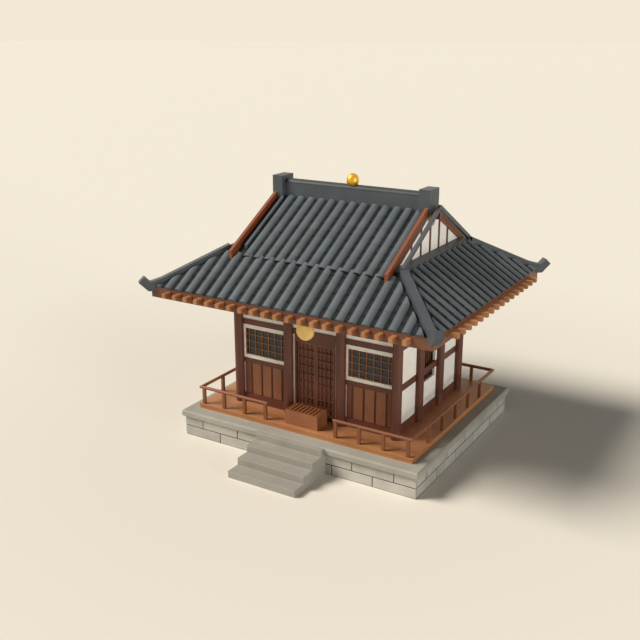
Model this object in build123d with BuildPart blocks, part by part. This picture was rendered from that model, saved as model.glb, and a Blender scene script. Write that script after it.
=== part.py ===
from build123d import *
import math
import os

os.makedirs("parts", exist_ok=True)

# A small wooden temple hall on a stone platform, with a hip-and-gable tiled roof.
# Millimetres. The origin is on the ground, under the middle of the hall.
# The front, with the steps and the doors, faces -Y, and +Z is up.

# Clearances
column_gap = 0.3        # between a column and the wall pieces scribed to it
door_gap = 8            # round each door leaf
pivot_gap = 0.3         # between a door's pivot and its socket
bed_joint = 0.5         # between stone courses
seam = 0.5              # between timbers or slabs that meet in a mitre

# Stone platform and steps
base_length = 8000
base_depth = 6900
base_height = 640
cap_height = 200
cap_overhang = 100
cap_round = 45
step_count = 4
step_width = 2260
step_going = 470
landing_depth = 150
step_edge = 12

# Deck
deck_length = 7430
deck_depth = 6220
deck_frame_height = 115
deck_beam = 140
deck_nosing = 12
floor_board = 45
joist_width = 120
joist_count = 7

# Columns, on a grid of three bays by three
bay_front = 1830
bay_side = 1475
column_diameter = 300

# Walls, set a little inside the middle of the columns
wall_inset = 80
plaster = 80
beam = 120
sill_beam = 160
sill_height = 290
mid_bottom = 1330       # from the deck to the underside of the middle beams
front_mid_height = 145
side_mid_height = 205
head_bottom = 2580
head_height = 180
plate_bottom = 3680
plate_height = 200
plate_width = 200

# Windows, doors and panelling
window_width = 1460
window_bottom = 1590
window_height = 865
window_rail = 34
window_rim_depth = 30
glass = 6
dado_thickness = 26
side_window_width = 960
side_window_bottom = 1070
side_window_height = 1060
side_rail = 45
door_opening = 1320
jamb = 45
threshold_height = 80
door_height = 2290
leaf_thickness = 50
leaf_stile = 60
leaf_panel = 14
leaf_bar = 26
leaf_bars = 3
leaf_rows = 8
pivot_diameter = 30
pivot_length = 35

# Railing
rail_diameter = 100
rail_height = 584       # from the deck to the top of the rail
rail_inset = 60
post_size = 90
front_post_first = 1225
front_post_pitch = 775
side_post_pitch = 975
rail_end = 75

# Offering box and gong
box_width = 1110
box_depth = 570
box_height = 455
box_wall = 40
box_from_edge = 140
box_slats = 8
box_slat = 70
box_slat_pitch = 129
gong_diameter = 640
gong_thickness = 170
gong_out = 2730
gong_centre = 2965      # above the deck
gong_rim = 35
gong_lug = 60
gong_side = 6           # between the lug and each strap
gong_strap = 16
gong_pin = 24

# Eaves
eave_half_x = 4600
eave_half_y = 4020
fascia_bottom = 3610    # above the deck
fascia_height = 320
fascia_thickness = 100
rafter_width = 120
rafter_height = 140
rafter_rise = 110       # from the fascia's lower edge to the rafters
rafter_tip = 280
rafter_count_front = 21
rafter_pitch_front = 392
rafter_count_side = 16
rafter_pitch_side = 410
rafter_seat = 15        # how deep a rafter is notched over the wall plate
rafter_back = 60        # from a rafter's end to the wall plate's inner edge
hip_rafter_width = 160
soffit = 20

# Roof
gable_inset = 85        # from the middle of the end walls in to the gables' outer faces
gable_foot = 340        # level, from a gable's outer face to the top of the skirt roof
skirt_slope = 0.631
skirt_slab = 100        # upright thickness
upper_slab = 90
upper_slope = 0.57
upper_lap = 160         # from the top of the skirt roof to the upper roof's lower edge
upper_step = 26         # the upper roof over the skirt roof, along that edge
gable_thickness = 110
tie_height = 150
pole = 150

# Ridges and gables
ridge_width = 330
ridge_height = 340      # from where the upper slopes meet to the top of the ridge's sides
ridge_roll_width = 230
ridge_roll_height = 90
end_past_gable = 100    # a ridge end's outer face past the gable's
end_length = 350
end_depth = 640
end_height = 570        # from where the upper slopes meet
hip_width = 240
hip_height = 110        # upright, above the roof slab
hip_level = 300         # the low end of a hip ridge that runs flatter
hip_turn_place = 40     # the turn in its upper edge: past the fascia's corner
hip_turn_height = 145   # and above the fascia
hip_turn = 45
hip_tip_length = 240
hip_tip_depth = 235
hip_tip_drop = 127      # the turn in its lower edge, below the top of the fascia
foot_ridge_height = 70  # above the top of the skirt roof
foot_ridge_lap = 20
board_past_gable = 57   # a bargeboard's outer face past the gable's
board_width = 100
board_proud = 240       # upright, above the roof slab
board_lap = 410         # past the top of the skirt roof
bar_offset = 275
verge_bar_width = 90
verge_bar_proud = 130
finial_foot_diameter = 230
finial_diameter = 375
finial_neck_diameter = 210
finial_height = 470
finial_belly = 190      # from its foot to its widest part
finial_neck = 370       # from its foot to where its point begins
finial_seat = 50
batten_count = 5
batten_width = 70
batten_depth = 30
batten_pitch = 620
pendant_diameter = 330
pendant_thickness = 50
pendant_drop = 330

# Levels and lines worked out from the sizes above
frame_bottom = base_height + cap_height
deck_top = frame_bottom + deck_frame_height + floor_board
riser = frame_bottom / step_count
sill_top = deck_top + sill_height
mid_low = deck_top + mid_bottom
head_low = deck_top + head_bottom
head_top = head_low + head_height
plate_low = deck_top + plate_bottom
plate_top = plate_low + plate_height
fascia_low = deck_top + fascia_bottom
fascia_top = fascia_low + fascia_height
rafter_low = fascia_low + rafter_rise
rafter_top = rafter_low + rafter_height
column_xs = [bay_front * (i - 1.5) for i in range(4)]
column_ys = [bay_side * (i - 1.5) for i in range(4)]
column_radius = column_diameter / 2
wall_x = column_xs[-1] - wall_inset
wall_y = column_ys[-1] - wall_inset
eave_x = eave_half_x - fascia_thickness
eave_y = eave_half_y - fascia_thickness
gable_outer = wall_x - gable_inset
gable_inner = gable_outer - gable_thickness
inner_x = gable_outer + gable_foot
skirt_run = eave_half_x - inner_x
inner_y = eave_half_y - skirt_run
skirt_top = fascia_top + skirt_slope * skirt_run
upper_edge_y = inner_y + upper_lap
ridge_z = skirt_top - skirt_slope * upper_lap + upper_step + upper_slope * upper_edge_y
board_outer = gable_outer + board_past_gable
board_inner = board_outer - board_width
board_middle = board_outer - board_width / 2
board_end_y = inner_y + board_lap
end_outer = gable_outer + end_past_gable
end_inner = end_outer - end_length

# Each side's way out, with the distance and the half length of its eave and of its wall
SIDES = {
    "front": (Vector(0, -1, 0), eave_half_y, eave_half_x, wall_y, wall_x),
    "right": (Vector(1, 0, 0), eave_half_x, eave_half_y, wall_x, wall_y),
    "rear": (Vector(0, 1, 0), eave_half_y, eave_half_x, wall_y, wall_x),
    "left": (Vector(-1, 0, 0), eave_half_x, eave_half_y, wall_x, wall_y),
}


def write(piece, label):
    """Labels a finished piece and writes its STEP file."""
    piece.part.label = label
    export_step(piece.part, f"parts/{label}.step")


def plan_plane(out, level=0.0):
    """A level plane whose X runs along one side of the hall and whose Y points inwards."""
    return Plane(origin=(0, 0, level), x_dir=Vector(0, 0, 1).cross(out), z_dir=(0, 0, 1))


def section_plane(out, along=0.0):
    """An upright plane across one side: X points out, Y up, at a place along the side."""
    across = out.cross(Vector(0, 0, 1))
    return Plane(origin=across * along, x_dir=out, z_dir=across)


def wall_plane(out, distance):
    """An upright plane parallel to one side's wall: X runs along it, Y up."""
    return Plane(origin=out * distance, x_dir=Vector(0, 0, 1).cross(out), z_dir=out)


def block(x_range, y_range, z_range, mode=Mode.ADD):
    """A box between three pairs of limits, on the current builder."""
    low = [min(r) for r in (x_range, y_range, z_range)]
    size = [abs(r[1] - r[0]) for r in (x_range, y_range, z_range)]
    with Locations(tuple(low)):
        Box(*size, align=(Align.MIN, Align.MIN, Align.MIN), mode=mode)


def span(limits, levels, mode=Mode.ADD):
    """A rectangle between two pairs of limits, in the current sketch."""
    with Locations((sum(limits) / 2, sum(levels) / 2)):
        Rectangle(limits[1] - limits[0], levels[1] - levels[0], mode=mode)


def wall_block(side, offset, thickness, limits, levels, mode=Mode.ADD):
    """A box in a wall: offset outwards from its middle, between limits along and up."""
    out, _, _, distance, _ = SIDES[side]
    with BuildSketch(wall_plane(out, distance + offset)) as outline:
        span(limits, levels)
    extrude(outline.sketch, amount=thickness / 2, both=True, mode=mode)


def wall_strip(side, thickness, limits=None):
    """The plan of one side's wall, whole or between limits, cut clear of the columns."""
    out, _, _, distance, half = SIDES[side]
    along, inwards = (column_xs, column_ys) if out.X == 0 else (column_ys, column_xs)
    end = along[-1] if out.X == 0 else half - thickness / 2
    with BuildSketch(plan_plane(out)) as strip:
        span(limits or (-end, end), (-distance - thickness / 2, -distance + thickness / 2))
        with Locations(*[(x, y) for x in along for y in inwards]):
            Circle(column_radius + column_gap, mode=Mode.SUBTRACT)
    return strip.sketch


def wall_course(side, thickness, levels, limits=None):
    """Extrudes a wall's plan between two levels, on the current builder."""
    strip = wall_strip(side, thickness, limits).moved(Location((0, 0, levels[0])))
    extrude(strip, amount=levels[1] - levels[0])


def mitred(reach, half, inner, trim=0.0, mode=Mode.ADD):
    """A strip along one side, in the current plan sketch, mitred at both its corners."""
    end = half - trim * math.sqrt(2)
    depth = reach - inner
    Polygon((end, -reach), (-end, -reach), (-end + depth, -inner), (end - depth, -inner),
            align=None, mode=mode)


def above_deck(bottom, height):
    """The levels of an opening, from its height above the deck."""
    return (deck_top + bottom, deck_top + bottom + height)


# Stone platform: a body of masonry, a capping course with a rounded edge, and steps
with BuildPart() as stone_base:
    Box(base_length, base_depth, base_height, align=(Align.CENTER, Align.CENTER, Align.MIN))
    chamfer(stone_base.edges().filter_by(Axis.Z), step_edge)
write(stone_base, "stone_base")

cap_half_y = base_depth / 2 + cap_overhang
with BuildPart() as stone_cap:
    with BuildSketch(Plane.XY.offset(base_height)):
        Rectangle(base_length + 2 * cap_overhang, 2 * cap_half_y)
    extrude(amount=cap_height)
    fillet(stone_cap.edges().filter_by(Axis.Z), cap_round)
    chamfer(stone_cap.edges().group_by(Axis.Z)[-1], cap_round)
    chamfer(stone_cap.edges().group_by(Axis.Z)[0], cap_round / 2)
write(stone_cap, "stone_cap")

with BuildPart() as stone_steps:
    for step in range(step_count):
        top_step = step == step_count - 1
        step_back = -cap_half_y if top_step else -base_depth / 2
        step_front = -cap_half_y - landing_depth - step_going * (step_count - 1 - step)
        block((-step_width / 2, step_width / 2), (step_front, step_back),
              (riser * step, riser * (step + 1) - (0 if top_step else bed_joint)))
        nosing = stone_steps.edges(Select.LAST).filter_by(Axis.X).group_by(Axis.Z)[-1]
        chamfer(nosing.sort_by(Axis.Y)[0], step_edge)
write(stone_steps, "stone_steps")

# Deck: a frame of edge beams and joists, and the boarded floor
frame_length = deck_length - 2 * deck_nosing
frame_depth = deck_depth - 2 * deck_nosing
with BuildPart() as deck_frame:
    with BuildSketch(Plane.XY.offset(frame_bottom)):
        Rectangle(frame_length, frame_depth)
        Rectangle(frame_length - 2 * deck_beam, frame_depth - 2 * deck_beam, mode=Mode.SUBTRACT)
        with GridLocations((frame_length - 2 * deck_beam) / (joist_count + 1), 0, joist_count, 1):
            Rectangle(joist_width, frame_depth - 2 * deck_beam)
    extrude(amount=deck_frame_height)
write(deck_frame, "deck_frame")

with BuildPart() as deck_floor:
    with BuildSketch(Plane.XY.offset(frame_bottom + deck_frame_height)):
        Rectangle(deck_length, deck_depth)
    extrude(amount=floor_board)
write(deck_floor, "deck_floor")

# Columns: round posts, none inside the hall
with BuildPart() as columns:
    with BuildSketch(Plane.XY.offset(deck_top)):
        with Locations(*[(x, y) for x in column_xs for y in column_ys
                         if abs(x) == column_xs[-1] or abs(y) == column_ys[-1]]):
            Circle(column_radius)
    extrude(amount=plate_low - deck_top)
write(columns, "columns")

# Beams between the columns, at the foot, the middle and the head of the walls
frame_edge = door_opening / 2 + jamb
window_middle = bay_front
front_runs = [(-column_xs[-1], -bay_front / 2), (bay_front / 2, column_xs[-1])]
with BuildPart() as sill_beams:
    for side in ("right", "rear", "left"):
        wall_course(side, sill_beam, (deck_top, sill_top))
    for run in front_runs:
        wall_course("front", sill_beam, (deck_top, sill_top), run)
write(sill_beams, "sill_beams")

with BuildPart() as middle_beams:
    for side in ("right", "rear", "left"):
        wall_course(side, beam, (mid_low, mid_low + side_mid_height))
    for run in front_runs:
        wall_course("front", beam, (mid_low, mid_low + front_mid_height), run)
write(middle_beams, "middle_beams")

with BuildPart() as head_beams:
    for side in SIDES:
        wall_course(side, beam, (head_low, head_top))
write(head_beams, "head_beams")

with BuildPart() as wall_plates:
    with BuildSketch(Plane.XY.offset(plate_low)):
        Rectangle(2 * wall_x + plate_width, 2 * wall_y + plate_width)
        Rectangle(2 * wall_x - plate_width, 2 * wall_y - plate_width, mode=Mode.SUBTRACT)
    extrude(amount=plate_height)
write(wall_plates, "wall_plates")


# Plaster between the beams, with the window openings cut through
def plaster_wall(side, mid_height, limits=None):
    """Adds one wall's lower, upper and frieze panels to the current builder."""
    wall_course(side, plaster, (sill_top, mid_low), limits)
    wall_course(side, plaster, (mid_low + mid_height, head_low), limits)
    wall_course(side, plaster, (head_top, plate_low), limits)


window_levels = above_deck(window_bottom, window_height)
window_limits = [
    (middle - window_width / 2, middle + window_width / 2)
    for middle in (-window_middle, window_middle)
]
dado_seat = (plaster - dado_thickness) / 2
for name, run, limits in zip(("left", "right"), front_runs, window_limits):
    with BuildPart() as front_wall:
        plaster_wall("front", front_mid_height, run)
        wall_block("front", 0, 2 * plaster, limits, window_levels, Mode.SUBTRACT)
        wall_block("front", dado_seat, dado_thickness, limits, (sill_top, mid_low), Mode.SUBTRACT)
    write(front_wall, f"front_wall_{name}")

door_low = deck_top + threshold_height
door_high = door_low + door_height
with BuildPart() as front_wall_door:
    for run in ((-bay_front / 2, -frame_edge), (frame_edge, bay_front / 2)):
        wall_course("front", plaster, (deck_top, head_low), run)
    wall_course("front", plaster, (head_top, plate_low), (-bay_front / 2, bay_front / 2))
write(front_wall_door, "front_wall_door")

side_window = (-side_window_width / 2, side_window_width / 2)
side_window_levels = above_deck(side_window_bottom, side_window_height)
for side in ("left", "right"):
    with BuildPart() as side_wall:
        plaster_wall(side, side_mid_height)
        wall_block(side, 0, 2 * plaster, side_window, side_window_levels, Mode.SUBTRACT)
    write(side_wall, f"{side}_wall")

with BuildPart() as rear_wall:
    plaster_wall("rear", side_mid_height)
write(rear_wall, "rear_wall")

# Boarded panels under the front windows, let into the plaster
with BuildPart() as dado_panels:
    for limits in window_limits:
        wall_block("front", dado_seat, dado_thickness, limits, (sill_top, mid_low))
write(dado_panels, "dado_panels")


# Front windows: a wooden rim in each opening, and one sheet of glass at its back
front_out, _, _, front_distance, _ = SIDES["front"]
with BuildPart() as window_frames:
    with BuildSketch(wall_plane(front_out, front_distance - plaster / 2 + glass)):
        for low, high in window_limits:
            span((low, high), window_levels)
            span((low + window_rail, high - window_rail),
                 (window_levels[0] + window_rail, window_levels[1] - window_rail), Mode.SUBTRACT)
    extrude(amount=window_rim_depth)
write(window_frames, "window_frames")

with BuildPart() as window_glass:
    for limits in window_limits:
        wall_block("front", (glass - plaster) / 2, glass, limits, window_levels)
write(window_glass, "window_glass")

# Side windows: open, with a rail across their inner face above and below
side_rail_depth = side_rail + (beam - plaster) / 2
with BuildPart() as side_window_rails:
    for side in ("left", "right"):
        for level in (side_window_levels[0] - side_rail, side_window_levels[1]):
            wall_block(side, -(plaster + side_rail_depth) / 2, side_rail_depth,
                       (side_window[0] - side_rail, side_window[1] + side_rail),
                       (level, level + side_rail))
write(side_window_rails, "side_window_rails")

# Doors: a frame with its threshold, and two latticed leaves on wooden pivots
pivot_x = door_opening / 2 - door_gap - leaf_thickness / 2
pivot_y = -(front_distance - leaf_thickness / 2)
leaf_levels = (door_low + door_gap, door_high - door_gap)
with BuildPart() as door_frame:
    wall_block("front", 0, beam, (-frame_edge, frame_edge), (deck_top, head_low))
    wall_block("front", 0, 2 * beam, (-door_opening / 2, door_opening / 2),
               (door_low, door_high), Mode.SUBTRACT)
    for level, end in ((door_low, Align.MAX), (door_high, Align.MIN)):
        with Locations(*[(x, pivot_y, level) for x in (-pivot_x, pivot_x)]):
            Cylinder(pivot_diameter / 2 + pivot_gap, pivot_length + pivot_gap,
                     align=(Align.CENTER, Align.CENTER, end), mode=Mode.SUBTRACT)
write(door_frame, "door_frame")

def leaf_lattice(limits, levels):
    """A leaf's stiles and rails with a grid of bars between them, in the current sketch."""
    width = limits[1] - limits[0]
    height = levels[1] - levels[0]
    span(limits, levels)
    span((limits[0] + leaf_stile, limits[1] - leaf_stile),
         (levels[0] + leaf_stile, levels[1] - leaf_stile), Mode.SUBTRACT)
    with Locations((sum(limits) / 2, sum(levels) / 2)):
        with GridLocations((width - leaf_stile) / (leaf_bars + 1), 0, leaf_bars, 1):
            Rectangle(leaf_bar, height)
        with GridLocations(0, (height - leaf_stile) / (leaf_rows + 1), 1, leaf_rows):
            Rectangle(width, leaf_bar)


for name, hand in (("left", -1), ("right", 1)):
    heel = hand * (door_opening / 2 - door_gap)
    limits = sorted((hand * door_gap / 2, heel))
    with BuildPart() as door_leaf:
        with BuildSketch(wall_plane(front_out, front_distance - leaf_thickness)):
            leaf_lattice(limits, leaf_levels)
        extrude(amount=leaf_thickness)
        panel_front = -front_distance + leaf_thickness
        block(limits, (panel_front - leaf_panel, panel_front), leaf_levels)
        heel_edges = [
            edge for edge in door_leaf.edges().filter_by(Axis.Z)
            if abs(edge.center().X - heel) < seam
        ]
        fillet(heel_edges, leaf_thickness / 2 - seam)
        with Locations((hand * pivot_x, pivot_y, (door_low + door_high) / 2)):
            Cylinder(pivot_diameter / 2, door_height + 2 * pivot_length)
    write(door_leaf, f"door_leaf_{name}")

# Railing: a round rail on square posts, with no post at the two rear corners
rail_x = deck_length / 2 - rail_inset
rail_y = deck_depth / 2 - rail_inset
rail_middle = deck_top + rail_height - rail_diameter / 2
front_posts = [front_post_first + front_post_pitch * i for i in range(4)]
side_posts = [side_post_pitch * (i - 2) for i in range(5)]
rear_posts = [side_post_pitch * (i - 3) for i in range(7)]


def railing(label, side, runs):
    """Writes one side's railing: for each run its start and end along the deck, and its posts."""
    out = SIDES[side][0]
    reach, half = (rail_y, rail_x) if out.X == 0 else (rail_x, rail_y)
    across = Vector(0, 0, 1).cross(out)
    with BuildPart() as sides_railing:
        for start, end, posts in runs:
            with BuildSketch(Plane(origin=out * reach + across * start + Vector(0, 0, rail_middle),
                                   z_dir=across)) as tube:
                Circle(rail_diameter / 2)
            extrude(tube.sketch, amount=end - start)
        with BuildSketch(plan_plane(out, rail_middle - rail_diameter)) as mitre:
            mitred(reach + rail_diameter, half + rail_diameter, reach - rail_diameter, seam / 2)
        extrude(mitre.sketch, amount=2 * rail_diameter, mode=Mode.INTERSECT)
        for start, end, posts in runs:
            with BuildSketch(plan_plane(out, deck_top)) as feet:
                with Locations(*[(place, -reach) for place in posts]):
                    Rectangle(post_size, post_size)
            extrude(feet.sketch, amount=rail_middle - deck_top)
    write(sides_railing, label)


rail_start = front_posts[0] - rail_end
past_x = rail_x + rail_diameter
past_y = rail_y + rail_diameter
railing("railing_front", "front", [(-past_x, -rail_start, [-x for x in front_posts]),
                                   (rail_start, past_x, front_posts)])
railing("railing_right", "right", [(-past_y, past_y, side_posts)])
railing("railing_rear", "rear", [(-past_x, past_x, rear_posts)])
railing("railing_left", "left", [(-past_y, past_y, side_posts)])

# Offering box: an open tub with a grating of bars over it
box_front = -deck_depth / 2 + box_from_edge
box_back = box_front + box_depth
box_top = deck_top + box_height
with BuildPart() as offering_box:
    block((-box_width / 2, box_width / 2), (box_front, box_back), (deck_top, box_top))
    block((-box_width / 2 + box_wall, box_width / 2 - box_wall),
          (box_front + box_wall, box_back - box_wall),
          (deck_top + box_wall, box_top), Mode.SUBTRACT)
    with BuildSketch(Plane.XY.offset(box_top - box_slat)):
        with Locations((0, (box_front + box_back) / 2)):
            with GridLocations(box_slat_pitch, 0, box_slats, 1):
                Rectangle(box_slat, box_depth - 2 * box_wall)
    extrude(amount=box_slat)
write(offering_box, "offering_box")

# Eaves: a fascia ring, rafters with their tips outside it, hip rafters and a soffit
with BuildPart() as fascia:
    with BuildSketch(Plane.XY.offset(fascia_low)):
        Rectangle(2 * eave_half_x, 2 * eave_half_y)
        Rectangle(2 * eave_x, 2 * eave_y, mode=Mode.SUBTRACT)
    extrude(amount=fascia_height)
write(fascia, "fascia")

plate_edge = plate_width / 2
pitch_length = eave_y - wall_y - plate_edge
rafter_slope = (plate_top - rafter_seat - rafter_low) / pitch_length


def sloped(out, plan, reach, low, thickness, slope, inner, length):
    """Adds the part of a plan's prism in a layer that rises inwards from one side's eave."""
    rise = slope * (reach - inner)
    with BuildSketch(section_plane(out)) as section:
        Polygon((reach, low), (reach, low + thickness),
                (inner, low + thickness + rise), (inner, low + rise), align=None)
    layer = extrude(section.sketch, amount=length, both=True, mode=Mode.PRIVATE)
    prism = extrude(plan, amount=ridge_z, mode=Mode.PRIVATE)
    add(layer & prism)


def take_plates():
    """Cuts the level seats over the wall plates out of the current builder's timbers."""
    block((-wall_x - plate_edge, wall_x + plate_edge), (-wall_y - plate_edge, wall_y + plate_edge),
          (plate_low, plate_top), Mode.SUBTRACT)


with BuildPart() as rafters:
    for out, reach, half, distance, _ in SIDES.values():
        count, pitch = rafter_count_side, rafter_pitch_side
        if out.X == 0:
            count, pitch = rafter_count_front, rafter_pitch_front
        inner = distance - plate_edge + rafter_back
        outer = reach - fascia_thickness
        with BuildSketch(plan_plane(out)) as plan:
            with Locations((0, -(outer + inner) / 2)):
                with GridLocations(pitch, 0, count, 1):
                    Rectangle(rafter_width, outer - inner)
            mitred(outer, half - fascia_thickness, inner, hip_rafter_width / 2 + seam,
                   Mode.INTERSECT)
        sloped(out, plan.sketch, outer, rafter_low, rafter_height, rafter_slope, inner, half)
        with BuildSketch(wall_plane(out, reach)) as tips:
            with Locations((0, (rafter_low + rafter_top) / 2)):
                with GridLocations(pitch, 0, count, 1):
                    Rectangle(rafter_width, rafter_height)
        extrude(tips.sketch, amount=rafter_tip)
    take_plates()
write(rafters, "rafters")

corners = [(x, y) for x in (-1, 1) for y in (-1, 1)]
hip_rafter_slope = rafter_slope / math.sqrt(2)
hip_rafter_length = 2 * (eave_y - wall_y)
with BuildPart() as hip_rafters:
    for x, y in corners:
        with BuildSketch(Plane(origin=(x * eave_x, y * eave_y, rafter_low),
                               x_dir=(x, y, 0), z_dir=Vector(x, y, 0).cross(Vector(0, 0, 1)))):
            rise = hip_rafter_slope * hip_rafter_length
            Polygon((0, 0), (0, rafter_height), (-hip_rafter_length, rafter_height + rise),
                    (-hip_rafter_length, rise), align=None)
        extrude(amount=hip_rafter_width / 2, both=True)
    block((-eave_x, eave_x), (-eave_y, eave_y), (0, ridge_z), Mode.INTERSECT)
    side_inner = wall_x - plate_edge + rafter_back
    front_inner = wall_y - plate_edge + rafter_back
    block((-side_inner, side_inner), (-front_inner, front_inner), (0, ridge_z), Mode.SUBTRACT)
    take_plates()
write(hip_rafters, "hip_rafters")

with BuildPart() as eave_soffits:
    for out, reach, half, distance, _ in SIDES.values():
        inner = distance - plate_edge + rafter_back
        outer = reach - fascia_thickness
        with BuildSketch(plan_plane(out)) as plan:
            mitred(outer, half - fascia_thickness, inner, hip_rafter_width / 2 + seam)
        sloped(out, plan.sketch, outer, rafter_top, soffit, rafter_slope, inner, half)
write(eave_soffits, "eave_soffits")


# Roof forms: the surfaces of the skirt roof and of the upper roof
def skirt_form():
    """The solid under the skirt roof's four slopes."""
    with BuildPart() as form:
        for out, reach, inner, length in ((Vector(0, -1, 0), eave_half_y, inner_y, eave_half_x),
                                          (Vector(1, 0, 0), eave_half_x, inner_x, eave_half_y)):
            with BuildSketch(section_plane(out)) as section:
                Polygon((-reach, fascia_low), (reach, fascia_low), (reach, fascia_top),
                        (inner, skirt_top), (-inner, skirt_top), (-reach, fascia_top), align=None)
            extrude(section.sketch, amount=length, both=True,
                    mode=Mode.INTERSECT if form.solids() else Mode.ADD)
    return form.part


def gable_shape(top, foot, reach, mode=Mode.ADD):
    """A gable in the current sketch, under the upper slopes and out to reach."""
    eave = top - upper_slope * reach
    Polygon((-reach, foot), (reach, foot), (reach, eave), (0, top), (-reach, eave),
            align=None, mode=mode)


def slope_band(low, high, start, stop):
    """A band on both upper slopes in the current sketch, upright from low to high at the ridge."""
    for hand in (-1, 1):
        Polygon((hand * start, low - upper_slope * start), (hand * stop, low - upper_slope * stop),
                (hand * stop, high - upper_slope * stop), (hand * start, high - upper_slope * start),
                align=None)


skirt_solid = skirt_form()
across = Plane.YZ
under_slab = ridge_z - upper_slab

# Roof frame: two tie beams, and a ridge pole that also carries the outer verge bars
tie_top = plate_top + tie_height
tie_end = wall_y - plate_edge + rafter_back
pole_top = under_slab - upper_slope * pole / 2
outer_bar = board_middle + bar_offset
with BuildPart() as roof_frame:
    for hand in (-1, 1):
        block((hand * gable_inner, hand * gable_outer), (-tie_end, tie_end), (plate_top, tie_top))
    block((-board_inner, outer_bar + verge_bar_width / 2), (-pole / 2, pole / 2),
          (pole_top - pole, pole_top))
    block((outer_bar - verge_bar_width / 2, outer_bar + verge_bar_width / 2),
          (-pole / 2, pole / 2), (pole_top, ridge_z - upper_slope * pole / 2))
write(roof_frame, "roof_frame")

# Skirt roof: four sloping slabs inside the fascia
with BuildPart() as skirt_roof:
    for out, reach, half, _, _ in SIDES.values():
        outer = reach - fascia_thickness
        inner = reach - skirt_run
        with BuildSketch(plan_plane(out)) as plan:
            mitred(outer, half - fascia_thickness, inner, seam / 2)
        sloped(out, plan.sketch, outer, fascia_top + skirt_slope * fascia_thickness - skirt_slab,
               skirt_slab, skirt_slope, inner, half)
write(skirt_roof, "skirt_roof")

# Upper roof: two slabs that bear on the skirt roof along their lower edges
with BuildPart() as upper_roof:
    with BuildSketch(across):
        slope_band(under_slab, ridge_z, seam / 2, upper_edge_y)
    extrude(amount=board_inner, both=True)
    add(skirt_solid, mode=Mode.SUBTRACT)
write(upper_roof, "upper_roof")

# Gable walls on the tie beams, with a hole for the ridge pole
with BuildPart() as gable_walls:
    for hand in (-1, 1):
        with BuildSketch(across.offset(hand * gable_outer)) as gable:
            gable_shape(under_slab, tie_top, tie_end)
            span((-pole / 2, pole / 2), (pole_top - pole, under_slab), Mode.SUBTRACT)
        extrude(gable.sketch, amount=-hand * gable_thickness)
write(gable_walls, "gable_walls")

# Ridge: a block at each end, and a beam with a rounded top between them
with BuildPart() as ridge_ends:
    for hand in (-1, 1):
        block((hand * end_inner, hand * end_outer), (-end_depth / 2, end_depth / 2),
              (ridge_z - upper_slope * end_depth / 2, ridge_z + end_height))
    with BuildSketch(across):
        gable_shape(ridge_z, 0, upper_edge_y)
    extrude(amount=end_outer, both=True, mode=Mode.SUBTRACT)
write(ridge_ends, "ridge_ends")

beam_top = ridge_z + ridge_height
with BuildPart() as ridge_beam:
    with BuildSketch(across):
        span((-ridge_width / 2, ridge_width / 2), (ridge_z - upper_slope * ridge_width / 2, beam_top))
        with BuildLine():
            roll_edge = ridge_roll_width / 2
            ThreePointArc((-roll_edge, beam_top), (0, beam_top + ridge_roll_height),
                          (roll_edge, beam_top))
            Line((roll_edge, beam_top), (-roll_edge, beam_top))
        make_face()
        gable_cut = upper_slope * ridge_width / 2
        Polygon((-ridge_width / 2, ridge_z - gable_cut), (ridge_width / 2, ridge_z - gable_cut),
                (0, ridge_z), align=None, mode=Mode.SUBTRACT)
    extrude(amount=end_inner - seam, both=True)
write(ridge_beam, "ridge_beam")

# Finial: a turned jewel with a full belly and a short point, seated over the ridge's roll
finial_z = beam_top + ridge_roll_height - finial_seat
with BuildPart() as finial:
    with BuildSketch(Plane.XZ):
        with BuildLine():
            foot = (finial_foot_diameter / 2, finial_z)
            belly = (finial_diameter / 2, finial_z + finial_belly)
            neck = (finial_neck_diameter / 2, finial_z + finial_neck)
            point = (0, finial_z + finial_height)
            ThreePointArc(foot, belly, neck)
            Polyline(neck, point, (0, finial_z), foot)
        make_face()
    revolve(axis=Axis.Z)
    add(ridge_beam.part, mode=Mode.SUBTRACT)
write(finial, "finial")

# Bargeboards, following the upper slopes at both gables
with BuildPart() as bargeboards:
    for hand in (-1, 1):
        with BuildSketch(across.offset(hand * board_inner)) as boards:
            slope_band(under_slab, ridge_z + board_proud, seam / 2, board_end_y)
        extrude(boards.sketch, amount=hand * board_width)
    add(ridge_ends.part, mode=Mode.SUBTRACT)
    add(skirt_solid, mode=Mode.SUBTRACT)
write(bargeboards, "bargeboards")

# Hip ridges: bars down the four hips, whose tips turn up past the eave's corners,
# and a level bar along the foot of each gable
hip_slope = skirt_slope / math.sqrt(2)
hip_top = -skirt_run * math.sqrt(2)


def hip_bar(x, y, gap=0.0, mode=Mode.ADD):
    """A hip ridge over one corner, or a cutter wider and longer than it by a gap."""
    with BuildSketch(Plane(origin=(x * eave_half_x, y * eave_half_y, fascia_top), x_dir=(x, y, 0),
                           z_dir=Vector(x, y, 0).cross(Vector(0, 0, 1)))) as profile:
        with BuildLine():
            turn = Vector(hip_turn_place, hip_turn_height)
            end_high = turn + Vector(hip_tip_length, 0).rotate(Axis.Z, hip_turn)
            end_low = end_high + Vector(0, -hip_tip_depth).rotate(Axis.Z, hip_turn)
            heel = end_low.X - (end_low.Y + hip_tip_drop) / math.tan(math.radians(hip_turn))
            back = hip_top - gap
            Polyline((back, hip_height - hip_slope * back),
                     (-hip_level, hip_height + hip_slope * hip_level),
                     turn, end_high, end_low, (heel, -hip_tip_drop), (back, -hip_tip_drop),
                     close=True)
        make_face()
    extrude(profile.sketch, amount=hip_width / 2 + gap, both=True, mode=mode)


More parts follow.
